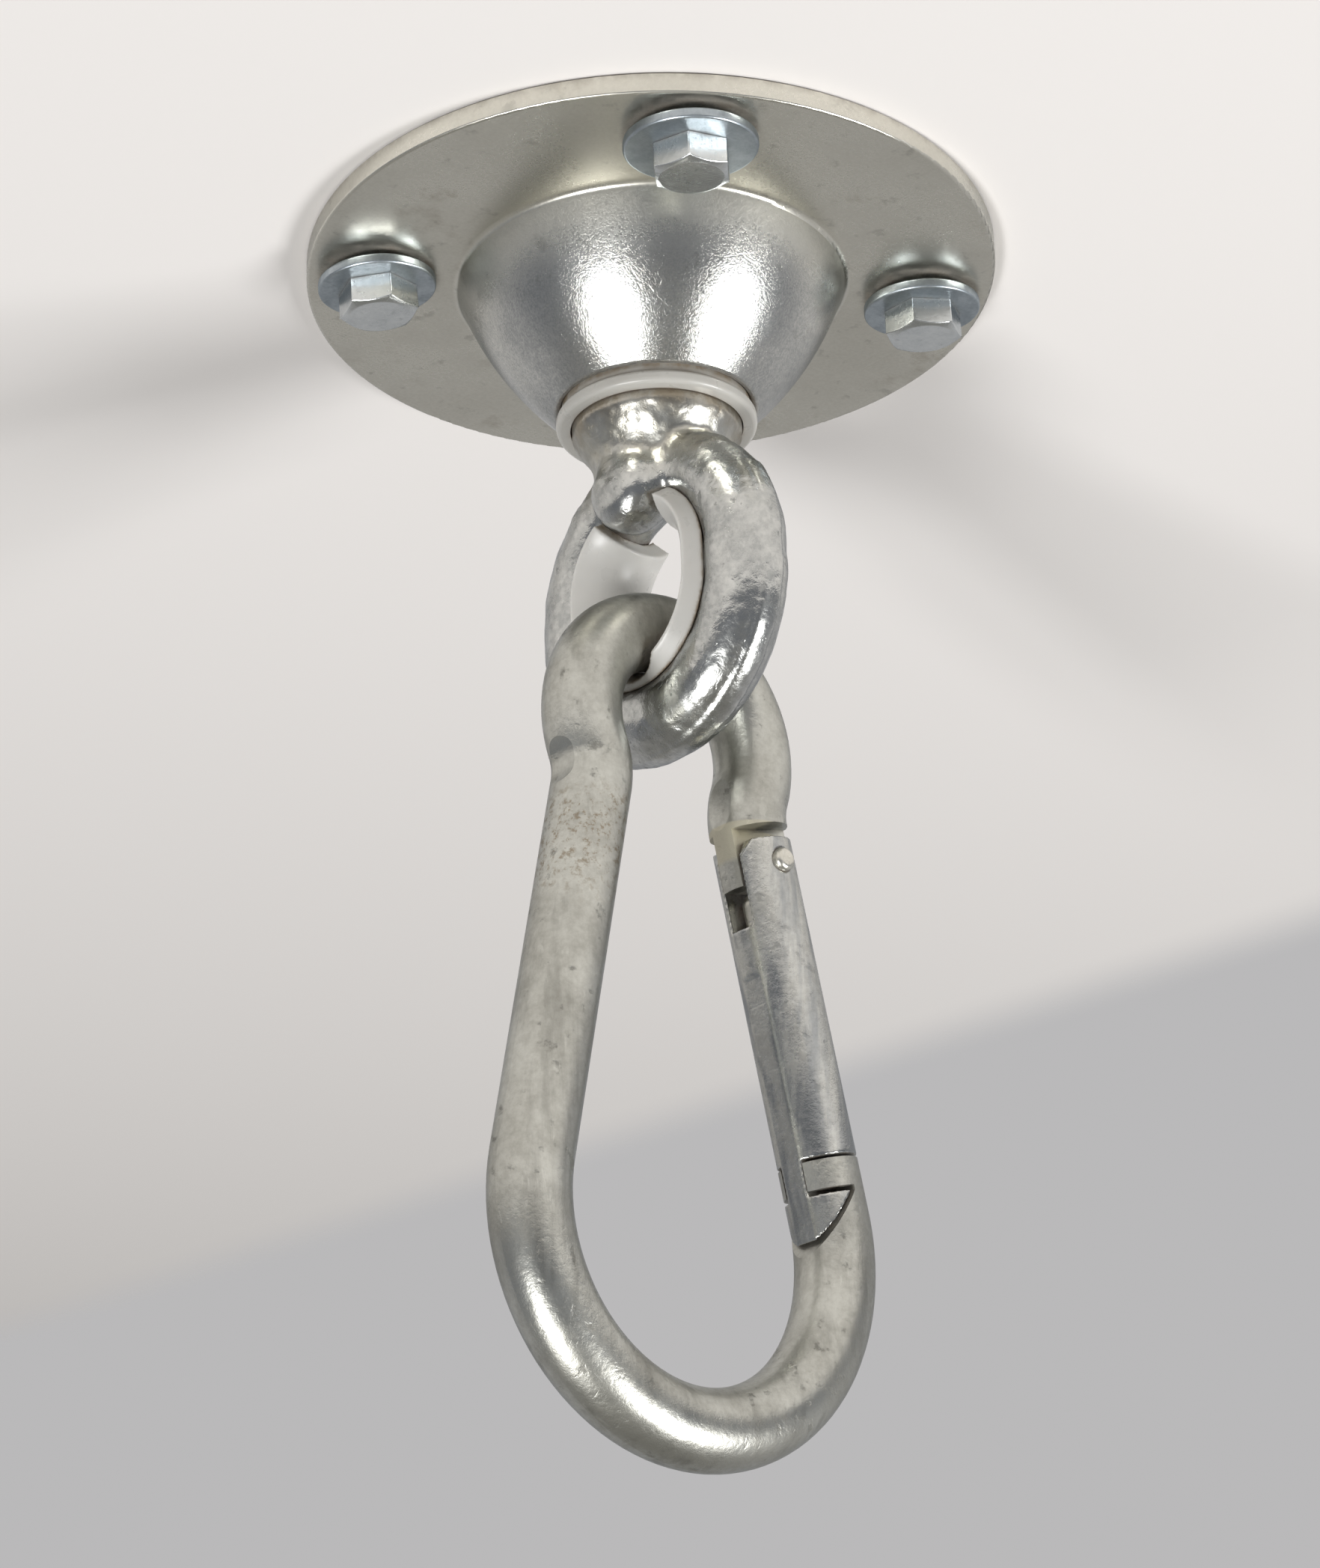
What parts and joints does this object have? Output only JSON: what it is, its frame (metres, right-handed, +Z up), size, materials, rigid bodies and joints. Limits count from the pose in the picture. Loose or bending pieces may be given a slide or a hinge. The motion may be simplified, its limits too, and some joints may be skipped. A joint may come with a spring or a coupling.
{
  "type": "ceiling swivel rope hook",
  "caption": "Round screw-on ceiling flange with a domed bearing, a swivelling lined eye and a pear-shaped spring snap hook for hanging a rope.",
  "frame": {"origin": "centre of the flange's flat face, which lies against the ceiling", "axes": "+Z up into the ceiling along the swivel axis, +X in the snap hook's plane towards its gate, +Y across that plane"},
  "size_m": [0.1, 0.1, 0.2126],
  "materials": {
    "flange_steel": "zinc plated, satin",
    "bolt_zinc": "bright zinc, bluish",
    "forged_zinc": "hot-dip zinc over a rough forging",
    "hook_zinc": "matt zinc, stained",
    "gate_zinc": "satin zinc",
    "rivet_steel": "bright",
    "spring_steel": "bright drawn wire",
    "white_nylon": "smooth, milky"
  },
  "bodies": {
    "mounting": {"ceiling_flange": "flange_steel", "bearing_cup": "white_nylon", "back_cover": "flange_steel", "top_pad": "white_nylon", "screw_front": "bolt_zinc", "screw_right": "bolt_zinc", "screw_back": "bolt_zinc", "screw_left": "bolt_zinc", "washer_front": "bolt_zinc", "washer_right": "bolt_zinc", "washer_back": "bolt_zinc", "washer_left": "bolt_zinc"},
    "eye": {"swivel_eye": "forged_zinc", "eye_liner": "white_nylon"},
    "hook": {"snap_hook": "hook_zinc"},
    "gate": {"gate": "gate_zinc", "gate_rivet": "rivet_steel", "gate_spring": "spring_steel"},
    "plunger": {"gate_plunger": "rivet_steel"}
  },
  "joints": [
    {"name": "eye_swivel", "type": "hinge", "parent": "mounting", "child": "eye", "pos_m": [0, 0, -0.0045], "axis": [0, 0, 1], "continuous": true},
    {"name": "hook_swing", "type": "hinge", "parent": "eye", "child": "hook", "pos_m": [0, 0, -0.0721], "axis": [0, 1, 0], "range_deg": [-90, 90]},
    {"name": "gate_hinge", "type": "hinge", "parent": "hook", "child": "gate", "pos_m": [0.01545, 0, -0.0911], "axis": [0, 1, 0], "range_deg": [0, 30], "stiffness_Nm_per_rad": 0.4, "springref_deg": -28.65},
    {"name": "plunger_slide", "type": "slide", "parent": "gate", "child": "plunger", "axis": [0.2106, 0, -0.9776], "range_m": [0, 0.0016], "deforming": ["gate_spring"]}
  ],
  "couplings": [
    {"joint": "plunger_slide", "follows": "gate_hinge", "m_per_rad": 0.00305}
  ]
}
